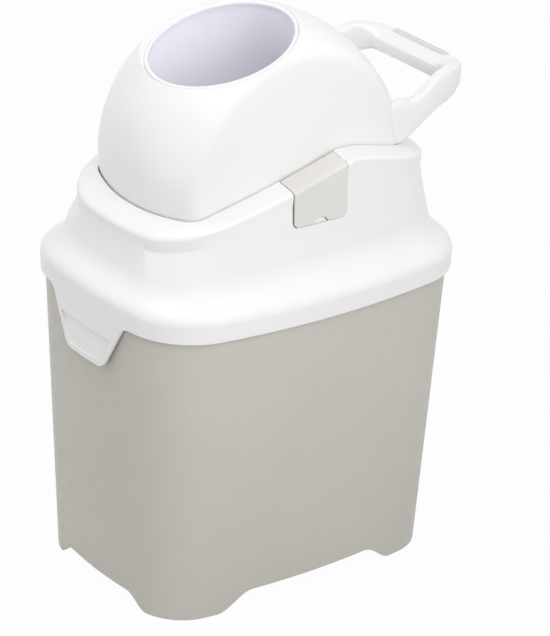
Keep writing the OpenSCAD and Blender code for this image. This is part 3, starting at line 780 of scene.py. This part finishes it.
def add_lamp(context, name, at, power, side, aim=MIDDLE_HEIGHT, beam=180):
    """A square lamp at a place, turned to the bin at a height, with a beam angle."""
    data = bpy.data.lights.new(name + "_lamp", "AREA")
    lamp = bpy.data.objects.new(name + "_lamp", data)
    context.scene.collection.objects.link(lamp)
    data.energy = power
    data.size = side
    data.spread = math.radians(beam)
    lamp.location = at
    away = (Vector(at) - Vector((0.0, 0.0, aim))).normalized()
    lamp.rotation_euler = away.to_track_quat("Z", "Y").to_euler()
    lamp.visible_camera = False
    return lamp


def white_for_camera(tree, plain, level):
    """Mixes a plain shader with the one linked to the last socket, for the camera, gloss and glass."""
    rays = tree.nodes.new("ShaderNodeLightPath")
    total = rays.outputs["Is Camera Ray"]
    for name in ("Is Glossy Ray", "Is Transmission Ray"):
        add = tree.nodes.new("ShaderNodeMath")
        add.operation = "ADD"
        add.use_clamp = True
        tree.links.new(total, add.inputs[0])
        tree.links.new(rays.outputs[name], add.inputs[1])
        total = add.outputs[0]
    part = tree.nodes.new("ShaderNodeMath")
    part.operation = "MULTIPLY"
    part.inputs[1].default_value = level
    tree.links.new(total, part.inputs[0])
    mix = tree.nodes.new("ShaderNodeMixShader")
    tree.links.new(part.outputs[0], mix.inputs[0])
    tree.links.new(plain, mix.inputs[1])
    return mix


def add_floor(context, look):
    """A pale floor that the camera sees as nearly plain white, with a trace of the bin's shadow."""
    half = look.floor_size / 2
    mesh = bpy.data.meshes.new("studio_floor")
    mesh.from_pydata([(-half, -half, 0), (half, -half, 0), (half, half, 0), (-half, half, 0)],
                     [], [(0, 1, 2, 3)])
    floor = bpy.data.objects.new("studio_floor", mesh)
    context.scene.collection.objects.link(floor)
    f = Finish("floor_pale", look.floor_roughness)
    tone = f.drifting(0.4, 0.3, look.floor, look.floor_shade)
    f.shader.inputs["Specular IOR Level"].default_value = 0.1
    f.finish(tone, uneven(f, f.noise(0.05, detail=3.0), 0.04))
    glow = f.tree.nodes.new("ShaderNodeEmission")
    mix = white_for_camera(f.tree, f.shader.outputs[0], look.lift)
    f.tree.links.new(glow.outputs[0], mix.inputs[2])
    out = f.tree.nodes["Material Output"]
    f.tree.links.new(mix.outputs[0], out.inputs["Surface"])
    mesh.materials.append(f.material)


def add_sky(context, look):
    """Even light from all round, which the camera, gloss and glass see as plain white."""
    world = bpy.data.worlds.new("studio_sky")
    context.scene.world = world
    world.use_nodes = True
    tree = world.node_tree
    even = tree.nodes["Background"]
    even.inputs["Color"].default_value = (1.0, 0.995, 0.99, 1.0)
    even.inputs["Strength"].default_value = look.sky
    plain = tree.nodes.new("ShaderNodeBackground")
    plain.inputs["Color"].default_value = (1.0, 1.0, 1.0, 1.0)
    plain.inputs["Strength"].default_value = 1.0
    mix = white_for_camera(tree, even.outputs[0], 1.0)
    tree.links.new(plain.outputs[0], mix.inputs[2])
    tree.links.new(mix.outputs[0], tree.nodes["World Output"].inputs["Surface"])


class NAPPYBIN_OT_stage(Operator):
    """Lay the floor, hang the lamps and set the camera"""
    bl_idname = "nappy_bin.stage"
    bl_label = "Studio"
    bl_options = {"REGISTER", "UNDO"}

    def execute(self, context):
        """Builds the stage, or raises an error if there is no camera at its end."""
        look = context.scene.nappy_bin.stage
        add_camera(context, look)
        add_floor(context, look)
        add_sky(context, look)
        for name, at, side, aim, beam in LAMPS:
            lamp = add_lamp(context, name, at, getattr(look, name), side, aim, beam)
            lamp.visible_glossy = name in IN_GLOSS
        for name, at, side in WINDOWS:
            lamp = add_lamp(context, name, at, look.window * math.pi * side * side, side)
            lamp.visible_diffuse = False
        context.scene.view_settings.view_transform = "Standard"
        if context.scene.camera is None:
            raise RuntimeError("the studio has no camera")
        return {"FINISHED"}


class NAPPYBIN_PT_panel(Panel):
    """The bin's pieces and studio, one button each"""
    bl_idname = "NAPPYBIN_PT_panel"
    bl_label = "Nappy Bin"
    bl_space_type = "VIEW_3D"
    bl_region_type = "UI"
    bl_category = "Nappy Bin"

    def draw(self, context):
        """Lists the operators."""
        column = self.layout.column(align=True)
        for step in STEPS:
            column.operator(step.bl_idname, text=step.bl_label)


STEPS = (
    NAPPYBIN_OT_bucket, NAPPYBIN_OT_lid, NAPPYBIN_OT_drum, NAPPYBIN_OT_handle, NAPPYBIN_OT_pad,
    NAPPYBIN_OT_clips, NAPPYBIN_OT_catches, NAPPYBIN_OT_pins, NAPPYBIN_OT_chute,
    NAPPYBIN_OT_caps, NAPPYBIN_OT_piston, NAPPYBIN_OT_seals, NAPPYBIN_OT_stage,
)
CLASSES = (
    BinShading, BinBucketFinish, BinLidFinish, BinClipFinish, BinCatchShape, BinChuteFinish,
    BinSealFinish, BinStage, BinSettings, *STEPS, NAPPYBIN_PT_panel,
)


def register():
    """Adds the classes and the scene's settings."""
    for cls in CLASSES:
        bpy.utils.register_class(cls)
    bpy.types.Scene.nappy_bin = PointerProperty(type=BinSettings)


def unregister():
    """Takes them away again."""
    del bpy.types.Scene.nappy_bin
    for cls in reversed(CLASSES):
        bpy.utils.unregister_class(cls)


def main():
    """Registers the add-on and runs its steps."""
    register()
    for step in STEPS:
        getattr(bpy.ops.nappy_bin, step.bl_idname.split(".")[1])()


if __name__ == "__main__":
    main()
